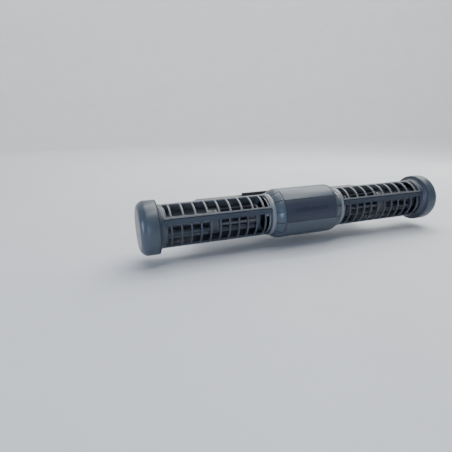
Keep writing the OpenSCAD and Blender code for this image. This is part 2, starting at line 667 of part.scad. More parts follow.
// Concave ring that widens the cage to the cap, with the cap's bayonet spigot
module flare_ring() color([0.27, 0.3, 0.33]) tilted() difference() {
    steps = 8;
    bore = SPIGOT_R + FIT;
    turned() polygon(concat(
        [[bore, FLARE_X0 - 3], [SLEEVE_R, FLARE_X0 - 3], [SLEEVE_R, FLARE_X0]],
        [for (k = [0:steps]) let (t = 90 * k / steps)
            [CAP_R - 0.1 - (CAP_R - 0.1 - CAGE_R) * cos(t),
             FLARE_X0 + (FLARE_X1 - LIP_T - FLARE_X0) * sin(t)]],
        [[CAP_R - 0.1, FLARE_X1], [CAP_SPIGOT_R, FLARE_X1], [CAP_SPIGOT_R, FLARE_X1 + 6],
         [CAP_SPIGOT_R - 2.3, FLARE_X1 + 6], [CAP_SPIGOT_R - 2.3, FLARE_X1 + 1],
         [bore, FLARE_X1 - 2]]
    ));
    for (a = [0, 120, 240]) {
        along_x(FLARE_X1 + 1.9, FLARE_X1 + 4.1)
            sector(LUG_R - FIT, CAP_SPIGOT_R + 1, a - 12.5, a + 12.5 + TWIST);
        along_x(FLARE_X1 + 1.9, FLARE_X1 + 8)
            sector(LUG_R - FIT, CAP_SPIGOT_R + 1, a - 12.5 + TWIST, a + 12.5 + TWIST);
    }
}

// ---------- end caps and outer bearings ----------

module end_cap() color([0.26, 0.29, 0.33]) tilted() {
    steps = 10;
    edge_x = END_X - 5.7;           // where the rim starts to round over
    face_r = CAP_R - 4.7;
    turned() polygon(concat(
        [[CAP_BORE_R, CAP_X], [CAP_R - 0.3, CAP_X], [CAP_R, CAP_X + 0.4],
         [CAP_R, edge_x - 0.3], [CAP_R - 0.3, edge_x]],
        [for (k = [1:steps]) let (t = 90 * k / steps)
            [face_r + (CAP_R - 0.3 - face_r) * cos(t), edge_x + 5.3 * sin(t)]],
        [[face_r * 0.6, END_X - 0.1], [0, END_X], [0, CAP_FLOOR_X],
         [CAP_BORE_R - 4, CAP_FLOOR_X], [CAP_BORE_R, CAP_FLOOR_X - 4]]
    ));
    for (a = [0, 120, 240]) along_x(FLARE_X1 + 2.1, FLARE_X1 + 3.9)
        sector(LUG_R, CAP_BORE_R + 0.6, a - LUG_ARC / 2, a + LUG_ARC / 2);
}

HOLDER_R = 8.6;
module bearing_holder() color([0.2, 0.21, 0.23]) tilted() {
    x0 = ROTOR_X1 + 1;
    tube_x(HOLDER_R, RUBBER_R, x0, x0 + 7);
    tube_x(HOLDER_R, RUBBER_R - 1.6, x0 + 7, CAP_FLOOR_X);
    tube_x(SPIGOT_R - 0.05, SPIGOT_R - 2, x0 + 1, FLARE_X1 + 2);
    for (a = [30, 150, 270]) along_x(x0 + 1, FLARE_X1 + 2) rotate(a)
        translate([HOLDER_R - 0.5, -1.2]) square([SPIGOT_R - HOLDER_R - 1, 2.4]);
}

module bearing_rubber() color([0.06, 0.06, 0.06]) tilted()
    tube_x(RUBBER_R, END_BUSH_R, ROTOR_X1 + 1, ROTOR_X1 + 8);

module end_bush() color([0.93, 0.93, 0.9]) tilted()
    tube_x(END_BUSH_R, PIN_R + 0.04, ROTOR_X1 + 0.9, ROTOR_X1 + 8);

// ---------- what is drawn ----------

mount_bridge();
swivel_saddle();
saddle_liner();
saddle_screws();
mirrored_left() magnet_pod();  // left_magnet_pod
magnet_pod();  // right_magnet_pod
mirrored_left() pod_cover();  // left_pod_cover
pod_cover();  // right_pod_cover
mirrored_left() pod_magnet();  // left_magnet
pod_magnet();  // right_magnet
pod_screws();
bar_screws();
glass_pad();
motor_shell();
front_panel();
mirrored_left() end_bell();  // left_end_bell
end_bell();  // right_end_bell
bell_screws();
stator_core();
stator_coils();
rotor_can();
o_rings();
bushings();
wiring_board();
swivel_shoe();
shoe_screws();
cable_gland();
gland_grommet();
gland_nut();
rotor_magnet();
magnet_sleeve();
drive_shaft();
thrust_washers();
mirrored_left() drive_hub();  // left_drive_hub
drive_hub();  // right_drive_hub
mirrored_left() paddle_rotor();  // left_paddle_rotor
paddle_rotor();  // right_paddle_rotor
mirrored_left() rotor_pin();  // left_rotor_pin
rotor_pin();  // right_rotor_pin
mirrored_left() index_collar();  // left_index_collar
mirrored_left() cage_base_ring();  // left_cage_base_ring
mirrored_left() upper_grille();  // left_upper_grille
mirrored_left() lower_grille();  // left_lower_grille
mirrored_left() flare_ring();  // left_flare_ring
index_collar();  // right_index_collar
cage_base_ring();  // right_cage_base_ring
upper_grille();  // right_upper_grille
lower_grille();  // right_lower_grille
flare_ring();  // right_flare_ring
mirrored_left() end_cap();  // left_end_cap
mirrored_left() bearing_holder();  // left_bearing_holder
mirrored_left() bearing_rubber();  // left_bearing_rubber
mirrored_left() end_bush();  // left_end_bush
end_cap();  // right_end_cap
bearing_holder();  // right_bearing_holder
bearing_rubber();  // right_bearing_rubber
end_bush();  // right_end_bush
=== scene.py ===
"""Looks of the wave maker pump: camera, light, materials, and the fine shapes that
stand in for plain CAD solids. Lengths are in metres, in the CAD's frame."""
import json
import math

import bmesh
import bpy
from mathutils import Matrix, Vector


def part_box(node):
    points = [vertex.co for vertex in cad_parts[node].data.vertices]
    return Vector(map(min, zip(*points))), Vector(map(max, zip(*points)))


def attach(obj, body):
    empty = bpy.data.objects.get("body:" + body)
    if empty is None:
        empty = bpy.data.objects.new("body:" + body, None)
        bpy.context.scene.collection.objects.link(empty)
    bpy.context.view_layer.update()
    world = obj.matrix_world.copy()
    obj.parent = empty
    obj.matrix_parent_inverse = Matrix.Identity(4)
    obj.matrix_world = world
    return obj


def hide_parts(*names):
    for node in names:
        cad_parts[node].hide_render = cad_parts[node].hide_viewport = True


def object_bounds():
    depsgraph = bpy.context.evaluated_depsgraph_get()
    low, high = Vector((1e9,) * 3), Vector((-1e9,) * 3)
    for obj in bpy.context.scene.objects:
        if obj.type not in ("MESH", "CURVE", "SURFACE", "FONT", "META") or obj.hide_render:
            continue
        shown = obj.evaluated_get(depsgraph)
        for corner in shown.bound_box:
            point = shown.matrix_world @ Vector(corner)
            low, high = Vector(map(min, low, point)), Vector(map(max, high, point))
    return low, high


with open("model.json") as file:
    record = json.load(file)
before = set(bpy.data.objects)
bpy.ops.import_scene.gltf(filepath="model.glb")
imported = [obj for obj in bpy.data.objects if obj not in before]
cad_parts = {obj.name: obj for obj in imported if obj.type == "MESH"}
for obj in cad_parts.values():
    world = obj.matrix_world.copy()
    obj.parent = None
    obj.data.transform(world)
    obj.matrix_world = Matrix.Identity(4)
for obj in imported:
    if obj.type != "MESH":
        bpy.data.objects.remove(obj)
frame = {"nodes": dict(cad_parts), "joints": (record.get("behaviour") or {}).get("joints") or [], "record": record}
cad_low, cad_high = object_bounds()

MM = 0.001
SIDES = {"left": -1, "right": 1}
RECORD = frame["record"]
BODY_OF = {node: body for body, nodes in RECORD["behaviour"]["bodies"].items() for node in nodes}
SLOT_OF = {part["node"]: part["material_slot"] for part in RECORD["subparts"]}

# ---------- sizes, from the CAD nodes where those show them ----------

AXIS = Vector(next(j["pos_m"] for j in frame["joints"] if j["name"] == "rotor_spin"))
TILT = 15                                   # degrees that the front panel looks up
SHELL_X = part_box("motor_shell")[1].x
BARREL_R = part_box("motor_shell")[1].z - AXIS.z
COLLAR_X0, COLLAR_X1 = (corner.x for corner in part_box("right_index_collar"))
RIM_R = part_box("right_cage_base_ring")[1].z - AXIS.z
CAGE_X0, CAGE_X1 = (corner.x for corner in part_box("right_upper_grille"))
RIM_PROUD = 0.6 * MM                        # of the base ring, over the cage beside it
CAGE_WALL = 1.8 * MM
CAGE_R = RIM_R - RIM_PROUD
CAGE_BORE_R = CAGE_R - CAGE_WALL
SLEEVE_R = CAGE_BORE_R - 0.1 * MM           # outside of the rings that the grilles snap over
SLEEVE_REACH = 3 * MM                       # of those rings, into the cage
CAP_X, END_X = (corner.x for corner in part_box("right_end_cap"))
CAP_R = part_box("right_end_cap")[1].z - AXIS.z
COLLAR_BORE_R = 17.6 * MM                   # and the flares'
SHELL_WALL = 2.25 * MM
PANEL_ANGLE = 26.5                          # half of the arc of the front panel
PANEL_T = 1.1 * MM
PANEL_GAP = 0.9                             # degrees from the panel to the edge of its recess
UPPER_EDGE = 14.8                           # degrees above the panel's middle: the upper grille,
BAND_TOP = 12.2                             # and the top and foot of the lower grille's band
BAND_FOOT = 1.7
BAND_PROUD = 0.4 * MM                       # of the band, over the rest of its grille
GROOVE_DEEP = 0.9 * MM                      # of the groove between the upper grille and the band
BACK_SEAM = 13.5                            # degrees below straight back where the halves meet
BACK_GAP = 0.8                              # degrees between the halves there
UPPER_WINDOWS = [(0, 19.5), (108.7, 160.5)] # angles between which each row is open
LOWER_WINDOWS = [(180, 251.3), (266, 288)]
MARKS = [180 + 27 * k for k in range(-4, 5)]    # index marks across the shoulders' front
MARK_TOP = 1.2 * MM                         # from a shoulder's face to the start of its marks
MARK_DEEP = 0.5 * MM
MARK_HALF = 1                               # half of a mark's width, in degrees
SHOULDER_X = 34.5 * MM                      # the shoulder's curve bends towards this station
SHOULDER_DROP = 0.65 * MM                   # and this far below the barrel
ROUND = [2.5 * k for k in range(144)]       # even angles round a full turn
SHARP = math.radians(35)                    # edges sharper than this aren't shaded smooth


# ---------- mesh helpers ----------

def on_axis(station, radius, angle):
    """A point round the rotor axis: 180 degrees is the middle of the front panel, 90 its top."""
    turn = math.radians(angle - TILT)
    return Vector((station, AXIS.y + radius * math.cos(turn), AXIS.z + radius * math.sin(turn)))


def new_piece(name, bm):
    """Makes an object of a bmesh, smooth except across its sharp edges."""
    bmesh.ops.remove_doubles(bm, verts=bm.verts, dist=1e-6)
    bmesh.ops.recalc_face_normals(bm, faces=bm.faces)
    mesh = bpy.data.meshes.new(name)
    bm.to_mesh(mesh)
    bm.free()
    mesh.shade_smooth()
    mesh.set_sharp_from_angle(angle=SHARP)
    piece = bpy.data.objects.new(name, mesh)
    bpy.context.scene.collection.objects.link(piece)
    return piece


def ride_along(piece, node, slot):
    """An added piece that rides on the body of a CAD node."""
    piece.data.materials.append(MATERIALS[slot])
    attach(piece, BODY_OF[node])


def stand_for(piece, node):
    """The piece replaces a CAD node: it rides on the node's body and has its material."""
    ride_along(piece, node, SLOT_OF[node])
    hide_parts(node)


def curve(start, handle, end, steps):
    """Points of a quadratic curve, without its last one."""
    start, handle, end = Vector(start), Vector(handle), Vector(end)
    return [start.lerp(handle, k / steps).lerp(handle.lerp(end, k / steps), k / steps)
            for k in range(steps)]


def soften(corners):
    """Rounds a closed outline of (station, radius, cut) corners; cut is the rounding's reach."""
    outline = []
    for k, (x, r, cut) in enumerate(corners):
        here = Vector((x, r))
        before = Vector(corners[k - 1][:2]) - here
        after = Vector(corners[(k + 1) % len(corners)][:2]) - here
        end = here + after.normalized() * cut
        if cut:
            outline += curve(here + before.normalized() * cut, here, end, steps=4)
        outline.append(end)
    return outline


def join_loops(bm, loops):
    """Quads from each closed loop of vertices to the next; all have the same length."""
    for loop, following in zip(loops, loops[1:]):
        for k in range(len(loop)):
            bm.faces.new((loop[k - 1], loop[k], following[k], following[k - 1]))


def fill_bar(bm, loops):
    """A bar whose sections are the loops, closed at both ends."""
    join_loops(bm, loops)
    bm.faces.new(loops[0])
    bm.faces.new(loops[-1])


def no_sink(angle, station, radius):
    return 0


def lathe(name, outline, sign=1, angles=ROUND, sink=no_sink):
    """Turns a closed outline of (station, radius) points round the rotor axis.
    sink(angle, station, radius) is how far a point drops below the outline."""
    bm = bmesh.new()
    rings = [[bm.verts.new(on_axis(sign * x, r - sink(angle, x, r), angle)) for x, r in outline]
             for angle in angles]
    join_loops(bm, rings + rings[:1])
    return new_piece(name, bm)


def curved_plate(name, stations, radii, angles, cut, steps=24):
    """A plate bent round the rotor axis, its edges rounded by `cut`."""
    section = ((stations[0], radii[0]), (stations[1], radii[0]),
               (stations[1], radii[1]), (stations[0], radii[1]))
    bm = bmesh.new()
    sections = []
    for k in range(steps + 1):
        angle = angles[0] + (angles[1] - angles[0]) * k / steps
        sections.append([bm.verts.new(on_axis(x, r, angle)) for x, r in section])
    fill_bar(bm, sections)
    corners = [e for e in bm.edges if e.calc_face_angle(0) > math.radians(60)]
    bmesh.ops.bevel(bm, geom=corners, offset=cut, segments=3, profile=0.5, affect="EDGES")
    return new_piece(name, bm)


# ---------- camera ----------

def add_camera():
    """Looks at the pump from its left, a little from above."""
    yaw, elevation, roll = (math.radians(a) for a in (20, 15, -1.64))
    distance, lens = 0.4, 29.47
    aim_right, aim_up = -0.0799, -0.0147    # from the pump's middle to the picture's
    back = Vector((-math.sin(yaw) * math.cos(elevation),
                   -math.cos(yaw) * math.cos(elevation), math.sin(elevation)))
    right = Vector((math.cos(yaw), -math.sin(yaw), 0))
    up = back.cross(right)
    spin = Matrix.Rotation(roll, 3, back)
    target = AXIS + right * aim_right + up * aim_up
    camera = bpy.data.objects.new("camera", bpy.data.cameras.new("camera"))
    axes = Matrix((spin @ right, spin @ up, back)).transposed()
    camera.matrix_world = Matrix.Translation(target + back * distance) @ axes.to_4x4()
    camera.data.sensor_width = 36
    camera.data.lens = lens
    camera.data.clip_start = 0.01
    bpy.context.scene.collection.objects.link(camera)
    bpy.context.scene.camera = camera


add_camera()


# ---------- materials ----------

class Nodes:
    """Short calls for building one material's node tree."""

    def __init__(self, name):
        self.material = bpy.data.materials.new(name)
        self.material.use_nodes = True
        self.tree = self.material.node_tree
        self.shader = self.tree.nodes["Principled BSDF"]
        self.place = self.tree.nodes.new("ShaderNodeTexCoord").outputs["Object"]

    def link(self, source, target):
        self.tree.links.new(source, target)

    def noise(self, scale, detail=3, stretch=(1, 1, 1)):
        """Noise of about 1/scale metres, drawn out along an axis by a small stretch."""
        mapping = self.tree.nodes.new("ShaderNodeMapping")
        mapping.inputs["Scale"].default_value = stretch
        texture = self.tree.nodes.new("ShaderNodeTexNoise")
        texture.inputs["Scale"].default_value = scale
        texture.inputs["Detail"].default_value = detail
        self.link(self.place, mapping.inputs["Vector"])
        self.link(mapping.outputs["Vector"], texture.inputs["Vector"])
        return texture.outputs["Fac"]

    def spread(self, source, low, high):
        """Maps the middle of a noise onto low..high."""
        node = self.tree.nodes.new("ShaderNodeMapRange")
        node.inputs["From Min"].default_value = 0.3
        node.inputs["From Max"].default_value = 0.7
        node.inputs["To Min"].default_value = low
        node.inputs["To Max"].default_value = high
        self.link(source, node.inputs["Value"])
        return node.outputs["Result"]

    def tint(self, colour, source, amount):
        """The colour, lighter and darker by `amount` as the noise goes."""
        scale = self.tree.nodes.new("ShaderNodeVectorMath")
        scale.operation = "SCALE"
        scale.inputs[0].default_value = colour
        self.link(self.spread(source, 1 - amount, 1 + amount), scale.inputs["Scale"])
        self.link(scale.outputs["Vector"], self.shader.inputs["Base Color"])

    def rough(self, source, low, high):
        self.link(self.spread(source, low, high), self.shader.inputs["Roughness"])

    def bump(self, source, depth, before=None):
        """Relief `depth` metres high, on top of an earlier one."""
        node = self.tree.nodes.new("ShaderNodeBump")
        node.inputs["Strength"].default_value = 1
        node.inputs["Distance"].default_value = depth
        self.link(source, node.inputs["Height"])
        if before:
            self.link(before, node.inputs["Normal"])
        self.link(node.outputs["Normal"], self.shader.inputs["Normal"])
        return node.outputs["Normal"]


def moulded(name, colour, roughness, grain=0.004 * MM, shine=0.5):
    """Injection-moulded plastic: spark-eroded grain, faint flow marks and handling marks."""
    nodes = Nodes(name)
    nodes.tint(colour, nodes.noise(60, stretch=(0.3, 1, 1)), 0.07)
    nodes.rough(nodes.noise(140, detail=5), roughness - 0.05, roughness + 0.06)
    flow = nodes.bump(nodes.noise(25, detail=1), 0.02 * MM)
    nodes.bump(nodes.noise(3200, detail=2), grain, flow)
    nodes.shader.inputs["Specular IOR Level"].default_value = shine
    return nodes.material


def rubbery(name, colour):
    nodes = Nodes(name)
    nodes.tint(colour, nodes.noise(300, detail=4), 0.15)
    nodes.rough(nodes.noise(200), 0.6, 0.8)
    nodes.bump(nodes.noise(2400, detail=4), 0.012 * MM)
    nodes.shader.inputs["Specular IOR Level"].default_value = 0.35
    return nodes.material


def metal(name, colour, roughness, brushed=(0.03, 1, 1)):
    """Metal with fine lines drawn out along the axis of the smallest stretch."""
    nodes = Nodes(name)
    lines = nodes.noise(2500, detail=2, stretch=brushed)
    nodes.tint(colour, nodes.noise(180), 0.08)
    nodes.rough(lines, roughness - 0.08, roughness + 0.1)
    nodes.bump(lines, 0.002 * MM)
    nodes.shader.inputs["Metallic"].default_value = 1
    return nodes.material


def ceramic(name, colour):
    nodes = Nodes(name)
    nodes.tint(colour, nodes.noise(500, detail=4), 0.03)
    nodes.rough(nodes.noise(160), 0.12, 0.2)
    nodes.bump(nodes.noise(900), 0.001 * MM)
    nodes.shader.inputs["Subsurface Weight"].default_value = 0.1
    nodes.shader.inputs["Subsurface Radius"].default_value = (MM, MM, MM)
    return nodes.material


def winding(name, colour):
    """Enamelled copper wire laid side by side."""
    nodes = Nodes(name)
    wires = nodes.noise(1800, detail=1, stretch=(0.02, 1, 1))
    nodes.tint(colour, wires, 0.25)
    nodes.rough(wires, 0.2, 0.35)
    nodes.bump(wires, 0.08 * MM)
    nodes.shader.inputs["Metallic"].default_value = 1
    nodes.shader.inputs["Coat Weight"].default_value = 0.6
    return nodes.material


MATERIALS = {
    "casing": moulded("casing", (0.05, 0.063, 0.075), 0.33),
    "panel": moulded("panel", (0.034, 0.038, 0.052), 0.36, shine=0.3),
    "rim_plastic": moulded("rim_plastic", (0.16, 0.165, 0.17), 0.3),
    # painted light: a lighter copy of the grille plastic for the upper grilles, standing in for the top light on
    # their upward-facing ribs
    "rib_plastic": moulded("rib_plastic", (0.12, 0.121, 0.123), 0.34),
    "grille_plastic": moulded("grille_plastic", (0.035, 0.042, 0.054), 0.36),
    "pod_plastic": moulded("pod_plastic", (0.12, 0.12, 0.124), 0.5, grain=0.012 * MM),
    "mount_plastic": moulded("mount_plastic", (0.02, 0.022, 0.027), 0.5, grain=0.01 * MM),
    "inner_plastic": moulded("inner_plastic", (0.008, 0.009, 0.011), 0.5, shine=0.2),
    "paddle_plastic": moulded("paddle_plastic", (0.06, 0.062, 0.066), 0.34),
    "can_plastic": moulded("can_plastic", (0.3, 0.31, 0.33), 0.4),
    "rubber": rubbery("rubber", (0.012, 0.012, 0.014)),
    "steel": metal("steel", (0.62, 0.62, 0.63), 0.28),
    "lamination": metal("lamination", (0.35, 0.36, 0.38), 0.4, brushed=(1, 0.02, 0.02)),
    "magnet": metal("magnet", (0.3, 0.3, 0.31), 0.35, brushed=(1, 1, 1)),
    "copper": winding("copper", (0.72, 0.32, 0.14)),
    "gland_brass": metal("gland_brass", (0.72, 0.53, 0.25), 0.3),
    "ceramic": ceramic("ceramic", (0.85, 0.85, 0.82)),
    "circuit_board": moulded("circuit_board", (0.02, 0.16, 0.06), 0.3),
}
EDGE_CUTS = {"mount_bridge": 0.6 * MM, "glass_pad": 0.5 * MM, "swivel_saddle": 0.4 * MM,
             "left_magnet_pod": 1.0 * MM, "right_magnet_pod": 1.0 * MM,
             "left_paddle_rotor": 0.25 * MM, "right_paddle_rotor": 0.25 * MM,
             "cable_gland": 0.4 * MM, "gland_grommet": 0.2 * MM, "swivel_shoe": 0.2 * MM}


def dress_cad_nodes():
    """Every CAD node gets its slot's material and slightly broken edges."""
    for name, node in frame["nodes"].items():
        node.data.materials.clear()
        node.data.materials.append(MATERIALS[SLOT_OF[name]])
        weld = node.modifiers.new("weld", "WELD")
        weld.merge_threshold = 0.002 * MM
        bevel = node.modifiers.new("bevel", "BEVEL")
        bevel.width = EDGE_CUTS.get(name, 0.15 * MM)
        bevel.segments = 3
        bevel.limit_method = "ANGLE"
        bevel.angle_limit = math.radians(40)
        bevel.harden_normals = True
        node.data.shade_smooth()
        node.data.set_sharp_from_angle(angle=SHARP)


dress_cad_nodes()


# ---------- motor ----------

def angles_with(places, near, offsets):
    """Even angles round a full turn, but the ones `near` to any of the places give way to
    those at the offsets from it."""
    angles = ROUND
    for place in places:
        angles = [a for a in angles if abs(a - place) > near]
        angles += [place + offset for offset in offsets]
    return sorted(angles)


def add_barrel():
    """The barrel, with a shallow recess along its front for the panel."""
    bore_r = BARREL_R - SHELL_WALL

    def recess(angle, station, radius):
        outside = radius > BARREL_R - 1 * MM
        return PANEL_T if outside and abs(angle - 180) < PANEL_ANGLE else 0

    outline = soften([(-SHELL_X, bore_r, 0.2 * MM), (-SHELL_X, BARREL_R, 0.35 * MM),
                      (SHELL_X, BARREL_R, 0.35 * MM), (SHELL_X, bore_r, 0.2 * MM)])
    edges = (180 - PANEL_ANGLE, 180 + PANEL_ANGLE)
    angles = angles_with(edges, 1.2, (-0.8, -0.02, 0.02, 0.8))  # the inner pair is the wall
    stand_for(lathe("motor_barrel", outline, angles=angles, sink=recess), "motor_shell")


def add_panel():
    """The panel in the recess, its face just below the barrel's."""
    reach = PANEL_ANGLE - PANEL_GAP
    panel = curved_plate("panel_cover", (-SHELL_X, SHELL_X),
                         (BARREL_R - PANEL_T, BARREL_R - 0.1 * MM),
                         (180 - reach, 180 + reach), 0.3 * MM)
    stand_for(panel, "front_panel")


def add_emblem():
    """Two plain wave lines, raised a little from the panel."""
    length, waves, steps = 38 * MM, 5, 96
    level, swing, half_w = 2.2, 1.5, 0.45   # in degrees round the axis
    top_r = BARREL_R + 0.05 * MM
    foot_r = top_r - 0.3 * MM
    section = ((-half_w, foot_r), (-half_w * 0.8, top_r), (half_w * 0.8, top_r), (half_w, foot_r))
    for number, middle in ((1, 180 - level), (2, 180 + level)):
        bm = bmesh.new()
        sections = []
        for k in range(steps + 1):
            x = (k / steps - 0.5) * length
            angle = middle + swing * math.sin(2 * math.pi * waves * k / steps)
            sections.append([bm.verts.new(on_axis(x, r, angle + a)) for a, r in section])
        fill_bar(bm, sections)
        ride_along(new_piece("emblem_wave_%d" % number, bm), "front_panel", "inner_plastic")


add_barrel()
add_panel()
add_emblem()


# ---------- cages ----------

def shoulder_curve():
    """Profile of the rounded shoulder, from the barrel down to the rim."""
    end = (COLLAR_X1, RIM_R)
    bent_by = (SHOULDER_X, BARREL_R - SHOULDER_DROP)
    return curve((COLLAR_X0 + 0.3 * MM, BARREL_R), bent_by, end, steps=24) + [Vector(end)]


def add_collar(side, sign):
    """The rounded shoulder beside the barrel, with its index marks."""
    def mark(angle, station, radius):
        outside = radius > COLLAR_BORE_R + 2 * MM and station > COLLAR_X0 + MARK_TOP
        return MARK_DEEP if outside and min(abs(angle - m) for m in MARKS) < MARK_HALF else 0

    outline = [Vector((COLLAR_X0, COLLAR_BORE_R)), Vector((COLLAR_X0, BARREL_R - 0.3 * MM))]
    outline += shoulder_curve() + [Vector((COLLAR_X1, COLLAR_BORE_R))]
    angles = angles_with(MARKS, 1.9, (-1.7, -1.1, -0.9, 0.9, 1.1, 1.7))
    collar = lathe(side + "_shoulder", outline, sign, angles, mark)
    stand_for(collar, side + "_index_collar")


def add_painted_mark_shade(side, sign):
    """Dark strips at the bottoms of the index marks, from just inside their upper ends: painted shade in the
    shallow grooves.
    """
    half, top, foot = 0.8, 0.25 * MM, 0.6 * MM  # degrees, and depths below the shoulder
    section = ((top, -half), (top, half), (foot, half), (foot, -half))
    shoulder = shoulder_curve()[4:]
    bm = bmesh.new()
    for mark in MARKS:
        fill_bar(bm, [[bm.verts.new(on_axis(sign * x, r - deep, mark + a)) for deep, a in section]
                      for x, r in shoulder])
    # painted shade: dark inner plastic laid in each mark's groove
    ride_along(new_piece(side + "_painted_mark_shade", bm), side + "_index_collar", "inner_plastic")


def add_base_ring(side, sign):
    """The bright ring between shoulder and cage, with the sleeve that holds the grilles."""
    bore = COLLAR_BORE_R + 1.1 * MM
    sleeve_x = CAGE_X0 + SLEEVE_REACH
    outline = soften([(COLLAR_X1, bore, 0), (COLLAR_X1, RIM_R, 0.5 * MM),
                      (CAGE_X0 - 0.3 * MM, RIM_R, 0.7 * MM), (CAGE_X0, CAGE_R, 0),
                      (CAGE_X0, SLEEVE_R, 0), (sleeve_x, SLEEVE_R, 0.3 * MM),
                      (sleeve_x, bore, 0.3 * MM)])
    stand_for(lathe(side + "_rim", outline, sign), side + "_cage_base_ring")


def between(start, end, steps):
    """The points strictly between two (station, angle) points."""
    return [(start[0] + (end[0] - start[0]) * k / steps, start[1] + (end[1] - start[1]) * k / steps)
            for k in range(1, steps)]


class Grille:
    """Half of a cage: a sheet bent round the rotor axis, with two rows of rounded windows.
    Its points are (station, angle) pairs; each window lies in a cell of the sheet."""
    fillet = 0.5 * MM                       # rounding of the windows' edges
    corner = 1.1 * MM                       # and of their corners
    parting = 0.3 * MM                      # and of the sheet's edges along the parting line
    half_rib = 1.0 * MM
    hoop = 1.4 * MM                         # solid stretch at each end of the sheet
    shift = 0.8 * MM                        # of the ribs' middle towards the cap
    around = 3.0                            # degrees of a cell beyond its window
    window_step, wall_step = 5, 3           # largest steps along a window and a wall, in degrees
    per_metre = math.degrees(1 / CAGE_R)    # degrees of arc in a metre of sheet

    def __init__(self, sign, ribs, pitch, rows, edges):
        self.sign = sign
        self.bm = bmesh.new()
        self.verts = {}
        self.place = {}
        middle = (CAGE_X0 + CAGE_X1) / 2 + self.shift
        columns = [CAGE_X0] + [middle + (k - (ribs - 1) / 2) * pitch for k in range(ribs)]
        columns.append(CAGE_X1)
        for row in rows:
            row_a = (row[0] - self.around, row[1] + self.around)
            for x0, x1 in zip(columns, columns[1:]):
                window_x = (x0 + (self.hoop if x0 == CAGE_X0 else self.half_rib),
                            x1 - (self.hoop if x1 == CAGE_X1 else self.half_rib))
                self.add_cell(((x0, x1), row_a), (window_x, row))
        self.add_wall(rows[0][0] - self.around, edges[0])
        self.add_wall(rows[0][1] + self.around, rows[1][0] - self.around)
        self.add_wall(rows[1][1] + self.around, edges[1])
        self.close_rim()

    def vert(self, point, radius):
        """The vertex at a point of the sheet; neighbours share it."""
        key = (round(point[0] * 1e6), round(point[1] * 1e4), round(radius * 1e7))
        if key not in self.verts:
            vert = self.bm.verts.new(on_axis(self.sign * point[0], radius, point[1]))
            self.verts[key] = vert
            self.place[vert] = (*point, radius)
        return self.verts[key]

    def corner_pair(self, cell, window, grow, turn):
        """Points round one corner of a window, and the matching ones round its cell's."""
        end_x, end_a = ((1, 0), (1, 1), (0, 1), (0, 0))[turn]
        centre = (window[0][end_x] - (2 * end_x - 1) * self.corner,
                  window[1][end_a] - (2 * end_a - 1) * self.corner * self.per_metre)
        edge = (cell[0][end_x], cell[1][end_a])
        radius, bend = self.corner + grow, 6
        turns = [math.radians(90 * (turn - 1 + k / bend)) for k in range(bend + 1)]
        inner = [(centre[0] + radius * math.cos(t),
                  centre[1] + radius * self.per_metre * math.sin(t)) for t in turns]
        legs = [(centre[0], edge[1]), edge, (edge[0], centre[1])]
        if turn % 2:
            legs.reverse()
        outer = [legs[0], *between(legs[0], legs[1], bend // 2),
                 legs[1], *between(legs[1], legs[2], bend // 2), legs[2]]
        return inner, outer

    def loops(self, cell, window, grow):
        """Loops of points round a window grown by `grow`, and round its cell's border."""
        corners = [self.corner_pair(cell, window, grow, turn) for turn in range(4)]
        upright = max(2, math.ceil((window[1][1] - window[1][0]) / self.window_step))
        inner, outer = [], []
        for turn, pair in enumerate(corners):
            following = corners[(turn + 1) % 4]
            steps = 2 if turn % 2 else upright
            inner += pair[0] + between(pair[0][-1], following[0][0], steps)
            outer += pair[1] + between(pair[1][-1], following[1][0], steps)
        return inner, outer

    def add_cell(self, cell, window):
        """One window with the sheet round it, outside and inside, and its rounded edge."""
        quarter = [math.radians(90 * k / 4) for k in range(5)]
        section = [(self.fillet * (1 - math.sin(t)), CAGE_R - self.fillet * (1 - math.cos(t)))
                   for t in quarter]
        section += [(grow, CAGE_R + CAGE_BORE_R - r) for grow, r in reversed(section)]
        walls = [[self.vert(p, r) for p in self.loops(cell, window, grow)[0]]
                 for grow, r in section]
        join_loops(self.bm, walls)
        inner, outer = self.loops(cell, window, self.fillet)
        steps = 4
        for radius, ring in ((CAGE_R, walls[0]), (CAGE_BORE_R, walls[-1])):
            rings = [ring]
            for k in range(1, steps + 1):
                points = [(x + (bx - x) * k / steps, a + (ba - a) * k / steps)
                          for (x, a), (bx, ba) in zip(inner, outer)]
                rings.append([self.vert(point, radius) for point in points])
            join_loops(self.bm, rings)

    def add_wall(self, start, end):
        """Plain sheet from the border of a row of windows to the next row or the edge."""
        steps = max(1, math.ceil(abs(end - start) / self.wall_step))
        angles = [start + (end - start) * k / steps for k in range(steps + 1)]
        for radius in (CAGE_R, CAGE_BORE_R):
            stations = sorted(x for x, a, r in self.place.values() if a == start and r == radius)
            for x0, x1 in zip(stations, stations[1:]):
                for a0, a1 in zip(angles, angles[1:]):
                    self.bm.faces.new([self.vert(point, radius)
                                       for point in ((x0, a0), (x1, a0), (x1, a1), (x0, a1))])

    def close_rim(self):
        """Walls round the sheet's outer rim, with rounded edges along the parting line."""
        rim = [e for e in self.bm.edges
               if e.is_boundary and self.place[e.verts[0]][2] == CAGE_R]
        for edge in rim:
            below = [self.vert(self.place[v][:2], CAGE_BORE_R) for v in edge.verts]
            self.bm.faces.new((*edge.verts, below[1], below[0]))
        along = [e for e in rim if self.place[e.verts[0]][1] == self.place[e.verts[1]][1]]
        bmesh.ops.bevel(self.bm, geom=along, offset=self.parting, segments=3, profile=0.5,
                        affect="EDGES")


